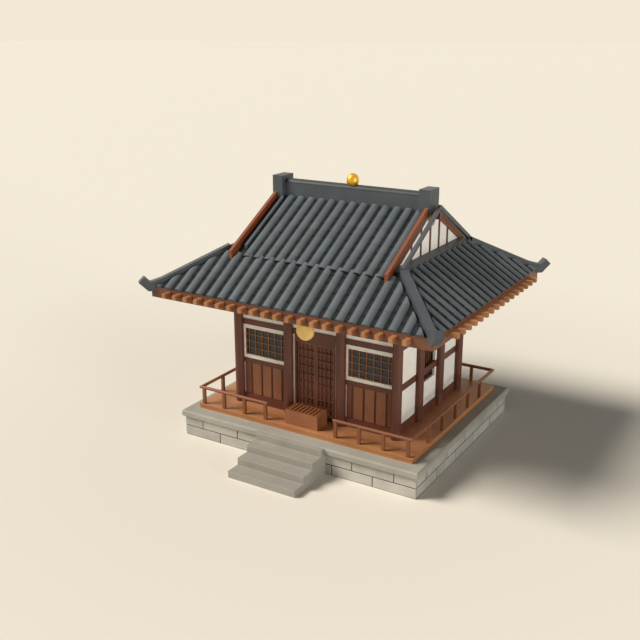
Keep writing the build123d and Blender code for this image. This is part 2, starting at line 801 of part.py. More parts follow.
with BuildPart() as foot_ridges:
    for hand in (-1, 1):
        block((hand * gable_outer, hand * (inner_x + foot_ridge_lap)), (-inner_y, inner_y),
              (skirt_top - skirt_slab, skirt_top + foot_ridge_height))
    for x, y in corners:
        hip_bar(x, y, seam, Mode.SUBTRACT)
    add(bargeboards.part, mode=Mode.SUBTRACT)

with BuildPart() as hip_ridges:
    for x, y in corners:
        hip_bar(x, y)
    add(foot_ridges.part)
    add(skirt_solid, mode=Mode.SUBTRACT)
write(hip_ridges, "hip_ridges")

# Verge bars: one pair on the tiles of the left slope's end, one pair out past the right gable
with BuildPart() as verge_bars:
    for middle, start in ((bar_offset - board_middle, end_depth / 2 + seam), (outer_bar, seam / 2)):
        with BuildSketch(across.offset(middle)) as bars:
            slope_band(ridge_z, ridge_z + verge_bar_proud, start, inner_y)
        extrude(bars.sketch, amount=verge_bar_width / 2, both=True)
    add(hip_ridges.part, mode=Mode.SUBTRACT)
    add(skirt_solid, mode=Mode.SUBTRACT)
write(verge_bars, "verge_bars")

# Gable trim: upright battens and a gilt pendant under the boards
with BuildPart() as gable_trim:
    for hand in (-1, 1):
        with BuildSketch(across.offset(hand * gable_outer)) as battens:
            with Locations((0, (skirt_top + under_slab) / 2)):
                with GridLocations(batten_pitch, 0, batten_count, 1):
                    Rectangle(batten_width, ridge_z - fascia_top)
            gable_shape(under_slab, fascia_top, inner_y, Mode.INTERSECT)
            with Locations((0, pole_top - pole / 2)):
                Rectangle(pole + batten_depth, pole + batten_depth, mode=Mode.SUBTRACT)
        extrude(battens.sketch, amount=hand * batten_depth)
        with BuildSketch(across.offset(hand * (gable_outer + batten_depth))) as pendant:
            with Locations((0, ridge_z - pendant_drop)):
                Circle(pendant_diameter / 2)
        extrude(pendant.sketch, amount=hand * pendant_thickness)
    add(hip_ridges.part, mode=Mode.SUBTRACT)
    add(skirt_solid, mode=Mode.SUBTRACT)
    add(roof_frame.part, mode=Mode.SUBTRACT)
write(gable_trim, "gable_trim")

# Gong over the steps: a bronze drum with a lug on top, on a pin between two straps
gong_z = deck_top + gong_centre
pin_z = gong_z + gong_diameter / 2 + gong_lug
strap_in = gong_lug / 2 + gong_side
strap_out = strap_in + gong_strap
lug_back = -gong_out + gong_lug / 2
lug_front = -gong_out - gong_lug / 2
with BuildPart() as gong:
    with BuildSketch(Plane.XZ.offset(gong_out)) as drum:
        with Locations((0, gong_z)):
            Circle(gong_diameter / 2)
    extrude(drum.sketch, amount=gong_thickness / 2, both=True)
    chamfer(gong.edges().filter_by(GeomType.CIRCLE), gong_rim)
    with BuildSketch(Plane.YZ.offset(-gong_lug / 2)) as lug:
        with BuildLine():
            Polyline((lug_front, pin_z), (lug_front, gong_z), (lug_back, gong_z), (lug_back, pin_z))
            ThreePointArc((lug_back, pin_z), (-gong_out, pin_z + gong_lug / 2), (lug_front, pin_z))
        make_face()
        with Locations((-gong_out, pin_z)):
            Circle(gong_pin / 2 + pivot_gap, mode=Mode.SUBTRACT)
    extrude(lug.sketch, amount=gong_lug)
write(gong, "gong")

with BuildPart() as gong_hanger:
    for hand in (-1, 1):
        with BuildSketch(Plane.YZ.offset(hand * strap_in)) as strap:
            rafter_under = [rafter_low + rafter_slope * (eave_y + y) for y in (lug_front, lug_back)]
            Polygon((lug_front, pin_z - gong_lug / 2), (lug_back, pin_z - gong_lug / 2),
                    (lug_back, rafter_under[1]), (lug_front, rafter_under[0]), align=None)
        extrude(strap.sketch, amount=hand * gong_strap)
    with BuildSketch(Plane.YZ.offset(-strap_out)) as pin:
        with Locations((-gong_out, pin_z)):
            Circle(gong_pin / 2)
    extrude(pin.sketch, amount=2 * strap_out)
write(gong_hanger, "gong_hanger")
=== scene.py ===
# %% [markdown]
# # A small temple hall
# This lesson dresses a finished construction model of a wooden hall: the frame below holds every
# timber, wall and slab at its real size. Here each surface gets its finish, and the small things
# that repeat, such as tiles, stones, boards and bars, are modelled and laid on the frame.

# %% Load the frame
import math
import random

import bmesh
import bpy
from mathutils import Matrix, Vector


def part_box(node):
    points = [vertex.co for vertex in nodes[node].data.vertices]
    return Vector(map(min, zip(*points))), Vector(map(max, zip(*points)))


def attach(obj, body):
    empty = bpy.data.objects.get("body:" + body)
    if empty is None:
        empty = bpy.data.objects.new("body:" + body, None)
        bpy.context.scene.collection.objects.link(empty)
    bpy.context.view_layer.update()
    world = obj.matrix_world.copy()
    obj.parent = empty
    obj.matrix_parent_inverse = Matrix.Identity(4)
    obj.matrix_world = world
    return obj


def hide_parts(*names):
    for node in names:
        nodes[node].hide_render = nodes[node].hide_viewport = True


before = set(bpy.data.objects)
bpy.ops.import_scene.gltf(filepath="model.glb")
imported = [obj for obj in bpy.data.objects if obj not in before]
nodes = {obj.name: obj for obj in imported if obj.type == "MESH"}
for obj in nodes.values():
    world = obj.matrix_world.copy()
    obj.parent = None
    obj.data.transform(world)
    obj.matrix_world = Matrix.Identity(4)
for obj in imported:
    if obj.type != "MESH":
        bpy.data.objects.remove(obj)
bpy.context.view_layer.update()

scene = bpy.context.scene

# %% [markdown]
# ## The camera
# A photograph's viewpoint can be found by eye, or solved from edges whose real sizes are known.
# It was solved here, because then every piece can be compared with the photograph in place.
# The camera stands at the hall's front right, well above it, with a 50 mm lens.

# %% Camera
camera_place = Vector((12.973, -23.24, 12.33))
camera_turn = math.radians(31.287)
camera_dip = math.radians(18.339)
lens_mm = 50.0
sensor_mm = 36.0

camera_data = bpy.data.cameras.new("camera")
camera_data.lens = lens_mm
camera_data.sensor_width = sensor_mm
camera = bpy.data.objects.new("camera", camera_data)
camera.location = camera_place
camera.rotation_euler = (math.pi / 2 - camera_dip, 0, camera_turn)
scene.collection.objects.link(camera)
scene.camera = camera
print("camera at", tuple(camera_place))

# %% [markdown]
# ## Colours
# A colour picker shows sRGB hex values, which are easy to compare with a photograph, but shaders
# work in linear light. Typed in as they are, such values would look washed out, so one function
# turns them to linear.


# %% Linear colour
def linear(hex_colour):
    """An sRGB hex colour as linear red, green, blue and alpha."""
    parts = [int(hex_colour[i:i + 2], 16) / 255 for i in (1, 3, 5)]
    bent = [p / 12.92 if p <= 0.04045 else ((p + 0.055) / 1.055) ** 2.4 for p in parts]
    return (*bent, 1.0)


print("mid grey in linear light:", round(linear("#808080")[0], 3))

# %% [markdown]
# ## Shader nodes
# Every surface here is a small graph of nodes. They could be placed and wired by hand in the
# editor. As code, with one function that adds a node with its settings and links, a finish is a
# short recipe, which can be made again in another tone.


# %% Nodes and materials
def add_node(tree, kind, inputs=None, stops=None, **settings):
    """Adds a node: settings are its properties, inputs its socket values or links."""
    made = tree.nodes.new(kind)
    for name, value in settings.items():
        setattr(made, name, value)
    for name, value in (inputs or {}).items():
        if isinstance(value, bpy.types.NodeSocket):
            tree.links.new(value, made.inputs[name])
        else:
            made.inputs[name].default_value = value
    for i, (place, colour) in enumerate(stops or []):
        ramp = made.color_ramp.elements
        stop = ramp[i] if i < len(ramp) else ramp.new(place)
        stop.position = place
        stop.color = linear(colour)
    return made


def start_material(name, **surface):
    """A new material with its Principled shader, its tree and its Object coordinates."""
    material = bpy.data.materials.new(name)
    material.use_nodes = True
    tree = material.node_tree
    shader = tree.nodes["Principled BSDF"]
    for socket, value in surface.items():
        shader.inputs[socket.replace("_", " ")].default_value = value
    coordinates = tree.nodes.new("ShaderNodeTexCoord").outputs["Object"]
    return material, tree, shader, coordinates


def feed(tree, shader, **outputs):
    """Links the outputs of nodes to the shader's sockets."""
    for socket, output in outputs.items():
        tree.links.new(output, shader.inputs[socket.replace("_", " ")])


print("materials that came with the frame:", len(bpy.data.materials))

# %% [markdown]
# ## Light
# Soft daylight comes from the left and from above, so that the shadow falls to the right of the
# hall. A large lamp close by could give it, but its light would fade across the roof. A sun has one
# strength everywhere, and a wide angle gives its shadow a soft edge. A second sun, as wide and very
# low, stands for the light that pale ground throws back on the walls in shade.


# %% Suns
def sunlight(name, comes_from, strength, spread, colour):
    """A lamp far away, whose angle softens the edges of its shadows."""
    data = bpy.data.lights.new(name, "SUN")
    data.energy = strength
    data.angle = math.radians(spread)
    data.color = linear(colour)[:3]
    lamp = bpy.data.objects.new(name, data)
    lamp.rotation_euler = Vector(comes_from).to_track_quat("Z", "Y").to_euler()
    scene.collection.objects.link(lamp)


sunlight("sun", comes_from=(-0.87, -0.52, 0.92), strength=4.1, spread=27, colour="#fff6ec")
sunlight("ground_glow", comes_from=(1.0, -0.25, 0.03), strength=2.1, spread=28, colour="#fbf8f4")
print("suns:", [light.name for light in bpy.data.lights])

# %% [markdown]
# ## Sky and backdrop
# A weak, even sky fills the shadows. A picture of a sky would tint them by direction, so a single
# grey is used. What the camera sees, directly, through glass or mirrored in metal, is a warm pale
# backdrop in its place, so that its colour can be chosen without a change to the light. A filmic
# view would soften the brightest tones. The Standard view shows colours as they were picked.

# %% World
sky = "#f1f0ee"
sky_strength = 0.15
backdrop = "#f2e8d5"

world = bpy.data.worlds.new("studio")
scene.world = world
world.use_nodes = True
world_tree = world.node_tree
fill = world_tree.nodes["Background"]
fill.inputs["Color"].default_value = linear(sky)
fill.inputs["Strength"].default_value = sky_strength
rays = add_node(world_tree, "ShaderNodeLightPath")
seen = add_node(world_tree, "ShaderNodeMath", {
    0: rays.outputs["Is Camera Ray"], 1: rays.outputs["Is Transmission Ray"],
}, operation="MAXIMUM")
seen = add_node(world_tree, "ShaderNodeMath", {
    0: seen.outputs[0], 1: rays.outputs["Is Glossy Ray"],
}, operation="MAXIMUM")
shown = add_node(world_tree, "ShaderNodeBackground", {"Color": linear(backdrop), "Strength": 1.0})
mixed = add_node(world_tree, "ShaderNodeMixShader", {
    0: seen.outputs[0], 1: fill.outputs[0], 2: shown.outputs[0],
})
world_tree.links.new(mixed.outputs[0], world_tree.nodes["World Output"].inputs["Surface"])
scene.view_settings.view_transform = "Standard"
print("sky strength", sky_strength, "backdrop", backdrop)

# %% [markdown]
# ## Floor
# The hall stands on a pale matt sheet, which catches its shadow. A curved studio sweep would need a
# radius of many metres here, so the sheet is flat and reaches the horizon. Its tint changes slowly
# with the distance from the hall, so that it meets the backdrop almost without a line, and it is
# darker near the hall: a painted shade round its foot.

# %% Floor
floor_reach = 600
floor_near, floor_far = 8.0, 20.0
# Painted shade: the nearer tone is darker, round the hall's foot
floor_tones = ("#e4e1d6", "#edebe0")

mesh = bmesh.new()
bmesh.ops.create_grid(mesh, x_segments=1, y_segments=1, size=floor_reach)
floor_data = bpy.data.meshes.new("floor")
mesh.to_mesh(floor_data)
mesh.free()
floor = bpy.data.objects.new("floor", floor_data)
scene.collection.objects.link(floor)
floor_paper, tree, shader, place = start_material("pale paper floor", Roughness=0.9,
                                                  Specular_IOR_Level=0.1)
away = add_node(tree, "ShaderNodeVectorMath", {0: place}, operation="LENGTH")
depth = add_node(tree, "ShaderNodeMapRange", {
    "Value": away.outputs["Value"], "From Min": floor_near, "From Max": floor_far,
})
paper = add_node(tree, "ShaderNodeValToRGB", {"Fac": depth.outputs[0]}, stops=[
    (0.0, floor_tones[0]), (1.0, floor_tones[1]),
])
feed(tree, shader, Base_Color=paper.outputs[0])
floor_data.materials.append(floor_paper)
print("floor reaches", floor_reach, "m each way")

# %% [markdown]
# ## Timber
# The hall is framed in planed cypress and cedar, some of it painted ochre, some stained or oiled.
# Rings from a wave texture would look stamped at this distance. A fine noise, stretched along the
# piece, reads as grain, and a slow stain breaks it up. The same noise drives the bump, so that
# light catches what the colour shows. Grain runs along a piece, so each direction has its own
# finish. Patterns are sized in millimetres: a scale of 1000 / size puts that size in an object
# that is measured in metres.


# %% Timber
def timber(name, tones, grain, roughness=0.5):
    """Planed timber: long grain along one axis, broken by a slow stain.

    To the eye it is straight streaks that run with the piece, under paint or oil.
    """
    ring_mm = 22        # drawn wider than life, so that the grain shows at this distance
    stain_mm = 1100
    streak_length = 14  # times a streak's width
    stain_share = 0.45
    grain_depth = 0.0015
    material, tree, shader, place = start_material(name, Roughness=roughness)
    across = 1000 / ring_mm
    stretch = [across / streak_length if axis == grain else across for axis in "xyz"]
    mapped = add_node(tree, "ShaderNodeMapping", {"Vector": place, "Scale": stretch})
    streaks = add_node(tree, "ShaderNodeTexNoise", {
        "Vector": mapped.outputs[0], "Scale": 1.0, "Detail": 5.0, "Roughness": 0.62,
    })
    stain = add_node(tree, "ShaderNodeTexNoise", {
        "Vector": place, "Scale": 1000 / stain_mm, "Detail": 3.0, "Roughness": 0.5,
    })
    both = add_node(tree, "ShaderNodeMix", {
        0: stain_share, 2: streaks.outputs["Fac"], 3: stain.outputs["Fac"],
    }, data_type="FLOAT")
    shade = add_node(tree, "ShaderNodeValToRGB", {"Fac": both.outputs[0]}, stops=[
        (0.32, tones[0]), (0.52, tones[1]), (0.72, tones[2]),
    ])
    bump = add_node(tree, "ShaderNodeBump", {
        "Height": streaks.outputs["Fac"], "Strength": 0.6, "Distance": grain_depth,
    })
    feed(tree, shader, Base_Color=shade.outputs[0], Normal=bump.outputs[0])
    return material


# Ochre paint: red-brown and half matt, on the hall's posts, beams, stiles and gable boards
ochre_paint = ("#4c2619", "#5e3020", "#6c3a26")
ochre_post = timber("ochre painted cypress post", ochre_paint, "z")
ochre_beam_x = timber("ochre painted cypress beam", ochre_paint, "x")
ochre_beam_y = timber("ochre painted cypress side beam", ochre_paint, "y")
stile_timber = timber("ochre painted stile", ("#572d1d", "#6b3925", "#7a4731"), "z")
bargeboard_timber = timber("ochre bargeboard", ("#6a341c", "#804121", "#934e29"), "y")
# Oiled or bare cypress: honey brown, palest on the deck, where feet wear it
rail_tones = ("#6b3d22", "#7d4b2a", "#8d5831")
rail_x = timber("oiled cypress rail", rail_tones, "x", 0.55)
rail_y = timber("oiled cypress side rail", rail_tones, "y", 0.55)
deck_timber = timber("oiled cypress deck board", ("#9b663f", "#b27a4f", "#c08a5f"), "x")
edge_timber = timber("oiled cypress deck edge", ("#9d6339", "#b07442", "#be8550"), "x", 0.45)
lattice_timber = timber("cypress lattice", ("#70431f", "#8c5a30", "#a06d3d"), "z")
slat_timber = timber("bare cypress slat", ("#5f3a28", "#704832", "#81573e"), "z", 0.6)
# Stained or cut cedar: redder and deeper, and near black where it is painted shade in grooves
panel_timber = timber("stained cedar panel", ("#6e432a", "#835234", "#94603e"), "z")
# Painted shade: this near-black cedar stands for the shadow in grooves and under the doors' bars
painted_shade_cedar = timber("cedar in shadow", ("#4c2514", "#582c18", "#64341e"), "z", 0.7)
door_timber = timber("stained cedar door", ("#5b3220", "#72422b", "#845034"), "z")
box_timber = timber("stained cedar box", ("#7a4a2e", "#915c39", "#a26d47"), "x")
fascia_timber = timber("red cedar fascia", ("#5b3422", "#6b3f2b", "#7a4a34"), "x")
rafter_timber = timber("cut cedar rafter", ("#8c5a36", "#a57046", "#b68054"), "y")
print("timber, for one:", ochre_post.name, deck_timber.name, panel_timber.name)

# %% [markdown]
# ## Plaster
# The walls between the timbers are lime plaster, laid on with a trowel. Its colour is nearly even,
# so a flat white would pass at first sight. Broad, faint clouds and a sandy bump make it a wall.


# %% Lime plaster
def lime_plaster():
    """Trowelled lime plaster: off-white, with broad soft clouds and a fine sandy tooth."""
    cloud_mm = 625
    sand_mm = 6.25  # drawn coarser than life, so that it shows
    sand_depth = 0.002
    material, tree, shader, place = start_material("trowelled lime plaster", Roughness=0.85)
    clouds = add_node(tree, "ShaderNodeTexNoise", {
        "Vector": place, "Scale": 1000 / cloud_mm, "Detail": 4.0, "Roughness": 0.55,
    })
    sand = add_node(tree, "ShaderNodeTexNoise", {
        "Vector": place, "Scale": 1000 / sand_mm, "Detail": 2.0,
    })
    shade = add_node(tree, "ShaderNodeValToRGB", {"Fac": clouds.outputs["Fac"]}, stops=[
        (0.3, "#efede5"), (0.5, "#f5f3ec"), (0.75, "#f9f8f3"),
    ])
    bump = add_node(tree, "ShaderNodeBump", {
        "Height": sand.outputs["Fac"], "Strength": 0.5, "Distance": sand_depth,
    })
    feed(tree, shader, Base_Color=shade.outputs[0], Normal=bump.outputs[0])
    return material


plaster = lime_plaster()
print("plaster:", plaster.name)

# %% [markdown]
# ## Stone
# The platform is dressed granite: squared with a chisel, then left to the weather. A photograph of
# stone would tile visibly over eight metres. Two noises do not: a slow one weathers the surface in
# grey clouds, and a fine one gives dark specks and the tooth that the chisel left. Blocks that are
# laid one by one carry a tone of their own, which the material reads as an attribute.


# %% Stone
def dressed_stone(name, tones, speck="#8c8878"):
    """Dressed granite: a fine pale grain, weathered in slow grey clouds, block by block."""
    weather_mm = 900
    grain_mm = 18  # drawn coarser than life: real grains of a few millimetres wouldn't show
    grain_depth = 0.004
    tone_share = 0.16
    material, tree, shader, place = start_material(name, Roughness=0.82)
    weather = add_node(tree, "ShaderNodeTexNoise", {
        "Vector": place, "Scale": 1000 / weather_mm, "Detail": 6.0, "Roughness": 0.6,
    })
    grain = add_node(tree, "ShaderNodeTexNoise", {
        "Vector": place, "Scale": 1000 / grain_mm, "Detail": 3.0, "Roughness": 0.7,
    })
    tone = add_node(tree, "ShaderNodeAttribute", attribute_name="tone")
    mixed_tone = add_node(tree, "ShaderNodeMath", {
        0: tone.outputs["Fac"], 1: tone_share, 2: weather.outputs["Fac"],
    }, operation="MULTIPLY_ADD")
    shade = add_node(tree, "ShaderNodeValToRGB", {"Fac": mixed_tone.outputs[0]}, stops=[
        (0.34, tones[0]), (0.55, tones[1]), (0.8, tones[2]),
    ])
    specks = add_node(tree, "ShaderNodeValToRGB", {"Fac": grain.outputs["Fac"]}, stops=[
        (0.3, "#ffffff"), (0.42, "#000000"),
    ])
    speckled = add_node(tree, "ShaderNodeMix", {
        0: specks.outputs[0], 6: shade.outputs[0], 7: linear(speck),
    }, data_type="RGBA")
    bump = add_node(tree, "ShaderNodeBump", {
        "Height": grain.outputs["Fac"], "Strength": 0.5, "Distance": grain_depth,
    })
    feed(tree, shader, Base_Color=speckled.outputs[2], Normal=bump.outputs[0])
    return material


# The slabs and steps are walked on, so they are more even than the blocks; the mortar is dark
ashlar_stone = dressed_stone("dressed granite block", ("#a29f97", "#b4b1a8", "#c3c0b8"))
cap_stone = dressed_stone("dressed granite slab", ("#97968c", "#9f9e94", "#a7a69c"))
step_stone = dressed_stone("worn granite step", ("#929086", "#9a978f", "#a29f97"))
mortar = dressed_stone("lime mortar", ("#46433c", "#524e46", "#5e5a50"), speck="#3a372f")
print("stone finishes:", ashlar_stone.name, cap_stone.name, step_stone.name, mortar.name)

# %% [markdown]
# ## Roof tile
# The tiles are clay, smoked in the kiln until they are slate grey, with a dull sheen. No two come
# out alike, so each copy's own tone shifts its colour, and soot clouds run over whole slopes. The
# pans lie in the covers' shade, and their much darker colour is that shade painted in; they have
# almost no sheen.


# %% Fired tile
def fired_tile(name, tones, roughness=0.5, sheen=0.5):
    """Smoked clay tile: slate grey with a dull sheen, each tile a little lighter or darker."""
    soot_mm = 770
    clay_mm = 14  # drawn coarser than life, so that the skin of the clay shows
    clay_depth = 0.003
    tone_share = 0.3
    material, tree, shader, place = start_material(name, Roughness=roughness,
                                                   Specular_IOR_Level=sheen)
    soot = add_node(tree, "ShaderNodeTexNoise", {
        "Vector": place, "Scale": 1000 / soot_mm, "Detail": 5.0, "Roughness": 0.6,
    })
    clay = add_node(tree, "ShaderNodeTexNoise", {
        "Vector": place, "Scale": 1000 / clay_mm, "Detail": 3.0, "Roughness": 0.6,
    })
    tone = add_node(tree, "ShaderNodeAttribute", attribute_name="tone")
    mixed_tone = add_node(tree, "ShaderNodeMath", {
        0: tone.outputs["Fac"], 1: tone_share, 2: soot.outputs["Fac"],
    }, operation="MULTIPLY_ADD")
    shade = add_node(tree, "ShaderNodeValToRGB", {"Fac": mixed_tone.outputs[0]}, stops=[
        (0.35, tones[0]), (0.62, tones[1]), (0.9, tones[2]),
    ])
    bump = add_node(tree, "ShaderNodeBump", {
        "Height": clay.outputs["Fac"], "Strength": 0.4, "Distance": clay_depth,
    })
    feed(tree, shader, Base_Color=shade.outputs[0], Normal=bump.outputs[0])
    return material


cover_tile = fired_tile("smoked clay cover tile", ("#424a51", "#4a535a", "#525c63"))
# Painted shade: the pans' near-black tones stand for the covers' shadow between the ribs
shaded_pan_tile = fired_tile("smoked clay pan tile", ("#1e2325", "#262b2e", "#2d3336"), 0.85, 0.15)
ridge_tile = fired_tile("smoked clay ridge tile", ("#3b4248", "#454d54", "#50585f"))
ridge_cap_tile = fired_tile("smoked clay ridge cap", ("#2c3134", "#343a3d", "#3d4346"), sheen=0.3)
print("tile finishes:", cover_tile.name, shaded_pan_tile.name, ridge_tile.name)

# %% [markdown]
# ## Metals
# The jewel and the bosses are gilded bronze, the gong is pale bronze, and the gong's straps are
# forged iron. A metal with one roughness looks new, so a slow noise rubs it: it moves the gloss as
# well as the colour. The gong is matt and pale, nearer to paint than to a mirror, so little of it
# is metallic. Its colour is lighter than the bronze itself: painted light, which keeps it bright in
# the shade of the eaves.


# %% Worn metal
def worn_metal(name, tones, metallic, roughness):
    """Cast metal with a hand-rubbed face: even colour, patchy gloss."""
    rub_mm = 110
    polish, wear = 0.08, 0.1  # how far the rubbing moves the roughness, down and up
    material, tree, shader, place = start_material(name, Metallic=metallic)
    rub = add_node(tree, "ShaderNodeTexNoise", {
        "Vector": place, "Scale": 1000 / rub_mm, "Detail": 4.0, "Roughness": 0.6,
    })
    shade = add_node(tree, "ShaderNodeValToRGB", {"Fac": rub.outputs["Fac"]}, stops=[
        (0.3, tones[0]), (0.7, tones[1]),
    ])
    gloss = add_node(tree, "ShaderNodeMapRange", {
        "Value": rub.outputs["Fac"], "To Min": roughness - polish, "To Max": roughness + wear,
    })
    feed(tree, shader, Base_Color=shade.outputs[0], Roughness=gloss.outputs[0])
    return material


gilt = worn_metal("gilded bronze", ("#cf9a2b", "#e8bb4e"), metallic=0.75, roughness=0.38)
# Painted light: the gong's tones are lighter than its bronze, to stay bright in the eave's shade
gong_bronze = worn_metal("pale gong bronze, painted light", ("#f6cb6c", "#fbdb8a"), metallic=0.12, roughness=0.5)
iron = worn_metal("forged iron", ("#1f1c1a", "#2f2b28"), metallic=0.6, roughness=0.55)
print("metals:", gilt.name, gong_bronze.name, iron.name)

# %% [markdown]
# ## Glass
# The panes behind the front lattices look almost black, because the room behind them is dark. Clear
# glass in front of an empty room would be paler, so a little of the light passes and the rest meets
# a dark blue grey. Slow waves show that it was drawn by hand, and dust dulls it in patches.


# %% Window glass
def drawn_glass():
    """Hand-drawn glass: dark from the room behind it, with slow waves and a patchy film of dust."""
    wave_mm = 125
    wave_depth = 0.004
    dust_mm = 250
    clean, dusty = 0.08, 0.2  # the roughness of the pane
    material, tree, shader, place = start_material("drawn window glass", Transmission_Weight=0.25)
    waves = add_node(tree, "ShaderNodeTexNoise", {
        "Vector": place, "Scale": 1000 / wave_mm, "Detail": 1.0, "Roughness": 0.4,
    })
    dust = add_node(tree, "ShaderNodeTexNoise", {
        "Vector": place, "Scale": 1000 / dust_mm, "Detail": 4.0, "Roughness": 0.6,
    })
    shade = add_node(tree, "ShaderNodeValToRGB", {"Fac": dust.outputs["Fac"]}, stops=[
        (0.3, "#1c2632"), (0.7, "#28313c"),
    ])
    gloss = add_node(tree, "ShaderNodeMapRange", {
        "Value": dust.outputs["Fac"], "To Min": clean, "To Max": dusty,
    })
    bump = add_node(tree, "ShaderNodeBump", {
        "Height": waves.outputs["Fac"], "Strength": 0.5, "Distance": wave_depth,
    })
    feed(tree, shader, Base_Color=shade.outputs[0], Roughness=gloss.outputs[0],
         Normal=bump.outputs[0])
    return material


window_glass = drawn_glass()
print("glass:", window_glass.name)

# %% [markdown]
# ## Dressing the frame
# Most timbers and slabs already have their right shape, so they only need a finish. Each could be
# picked and painted by hand, but a table of node name and finish says it all in one place.

# %% Finishes on the frame's own pieces
dressing = {
    "stone_base": mortar,
    "stone_cap": cap_stone,
    "stone_steps": step_stone,
    "deck_frame": edge_timber,
    "deck_floor": deck_timber,
    "columns": ochre_post,
    "sill_beams": ochre_beam_x,
    "middle_beams": ochre_beam_x,
    "head_beams": ochre_beam_x,
    "wall_plates": ochre_beam_x,
    "front_wall_left": plaster,
    "front_wall_right": plaster,
    "front_wall_door": plaster,
    "left_wall": plaster,
    "right_wall": plaster,
    "rear_wall": plaster,
    "gable_walls": plaster,
    "dado_panels": painted_shade_cedar,
    "window_frames": lattice_timber,
    "window_glass": window_glass,
    "side_window_rails": painted_shade_cedar,
    "door_frame": ochre_post,
    "door_leaf_left": door_timber,
    "door_leaf_right": door_timber,
    "railing_front": rail_x,
    "railing_rear": rail_x,
    "railing_left": rail_y,
    "railing_right": rail_y,
    "offering_box": box_timber,
    "fascia": fascia_timber,
    "rafters": rafter_timber,
    "hip_rafters": rafter_timber,
    "eave_soffits": fascia_timber,
    "roof_frame": ochre_beam_y,
    "skirt_roof": shaded_pan_tile,
    "upper_roof": shaded_pan_tile,
    "hip_ridges": ridge_tile,
    "ridge_beam": ridge_tile,
    "ridge_ends": ridge_tile,
    "verge_bars": ridge_tile,
    "bargeboards": bargeboard_timber,
    "gable_trim": ochre_post,
    "finial": gilt,
    "gong": gilt,
    "gong_hanger": iron,
}
for name, material in dressing.items():
    finishes = nodes[name].data.materials
    finishes.clear()
    finishes.append(material)
print("dressed:", len(dressing), "nodes")

# %% [markdown]
# ## Finished pieces
# Tiles, stones and boards are new pieces. Each is modelled as a bmesh, a mesh that operators can
# shape, and becomes an object at the end. Its place is in its mesh and the object stays at the
# origin, so that the grain of its finish isn't shifted. It also says which moving body it rides on.


def finished(name, mesh, material, body="hall"):
    """Turns a bmesh into a piece of the model that moves with one body."""
    bmesh.ops.recalc_face_normals(mesh, faces=mesh.faces)
    data = bpy.data.meshes.new(name)
    mesh.to_mesh(data)
    mesh.free()
    data.materials.append(material)
    piece = bpy.data.objects.new(name, data)
    scene.collection.objects.link(piece)
    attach(piece, body)
    return piece


# %% [markdown]
# ## Repeated pieces
# A temple is made of a few shapes used hundreds of times: tiles, stones, boards, bars. An Array
# modifier repeats a shape in rows, but can't give each copy a tone or cut the rows at a hip. So one
# function takes a shape, made once with mesh operators, and a list of places, and lays a copy at
# each. Every copy gets its own number between 0 and 1, which the materials read as its tone.

# %% Laying copies of one shape
tone_seed = 7
chance = random.Random(tone_seed)


def everything(mesh):
    """All vertices, edges and faces of a mesh."""
    return mesh.verts[:] + mesh.edges[:] + mesh.faces[:]


def at(x, y, z):
    """A place that only moves a shape."""
    return Matrix.Translation((x, y, z))


def repeated(name, shape, places, material, cuts=(), body="hall"):
    """Lays a copy of a shape at each place; a cut keeps the side its normal points away from."""
    mesh = bmesh.new()
    shape(mesh)
    tone = mesh.faces.layers.float.new("tone")
    master = everything(mesh)
    first = mesh.verts[:]
    for place in places:
        made = bmesh.ops.duplicate(mesh, geom=master)["geom"]
        verts = [part for part in made if isinstance(part, bmesh.types.BMVert)]
        bmesh.ops.transform(mesh, matrix=place, verts=verts)
        shade = chance.random()
        for part in made:
            if isinstance(part, bmesh.types.BMFace):
                part[tone] = shade
    bmesh.ops.delete(mesh, geom=first, context="VERTS")
    for point, normal in cuts:
        bmesh.ops.bisect_plane(mesh, geom=everything(mesh), plane_co=point, plane_no=normal,
                               clear_outer=True)
    return finished(name, mesh, material, body)


print("tones are drawn from seed", tone_seed)

# %% [markdown]
# ## Cover tiles
# This roof is laid with two kinds of clay tile. Pans lie hollow side up in rows down the slope,
# and half-round covers straddle the joints between the rows, which is what gives the long ribs. A
# ribbed sheet would be quicker, but it has no laps, and every row would end alike. A cover starts
# as a cone, cut in half and pressed a little flat: it is slightly wider at its lower end, so that
# it laps over the next one down.

# %% Cover tile
cover_width = 0.28
cover_rise = 0.088
cover_taper = 0.982
cover_facets = 18
tile_course = 0.30
tile_lap = 0.03


def cover_shape(mesh):
    """Half a cone lying along Y, its lower and wider end at Y = 0."""
    length = tile_course + tile_lap
    lie = at(0, length / 2, 0) @ Matrix.Rotation(-math.pi / 2, 4, "X")
    bmesh.ops.create_cone(mesh, cap_ends=True, segments=cover_facets, radius1=cover_width / 2,
                          radius2=cover_taper * cover_width / 2, depth=length, matrix=lie)
    bmesh.ops.bisect_plane(mesh, geom=everything(mesh), plane_co=(0, 0, 0), plane_no=(0, 0, 1),
                           clear_inner=True)
    bmesh.ops.scale(mesh, vec=(1, 1, 2 * cover_rise / cover_width), verts=mesh.verts)
    for face in mesh.faces:
        face.smooth = len(face.verts) == 4
    for edge in mesh.edges:
        edge.smooth = all(face.smooth for face in edge.link_faces)


print("cover tile", cover_width, "m wide; course", tile_course, "m")

# %% [markdown]
# ## Pan tiles
# A pan is a shallow trough that carries the rain. Only a strip of each shows between the covers,
# so a sheet of four faces is enough. It is bent, tipped so that it laps over the pan below, and
# then solidified, because its lower edge shows how thick it is.

# %% Pan tile
pan_sag = 0.016
pan_thickness = 0.010
pan_facets = 4


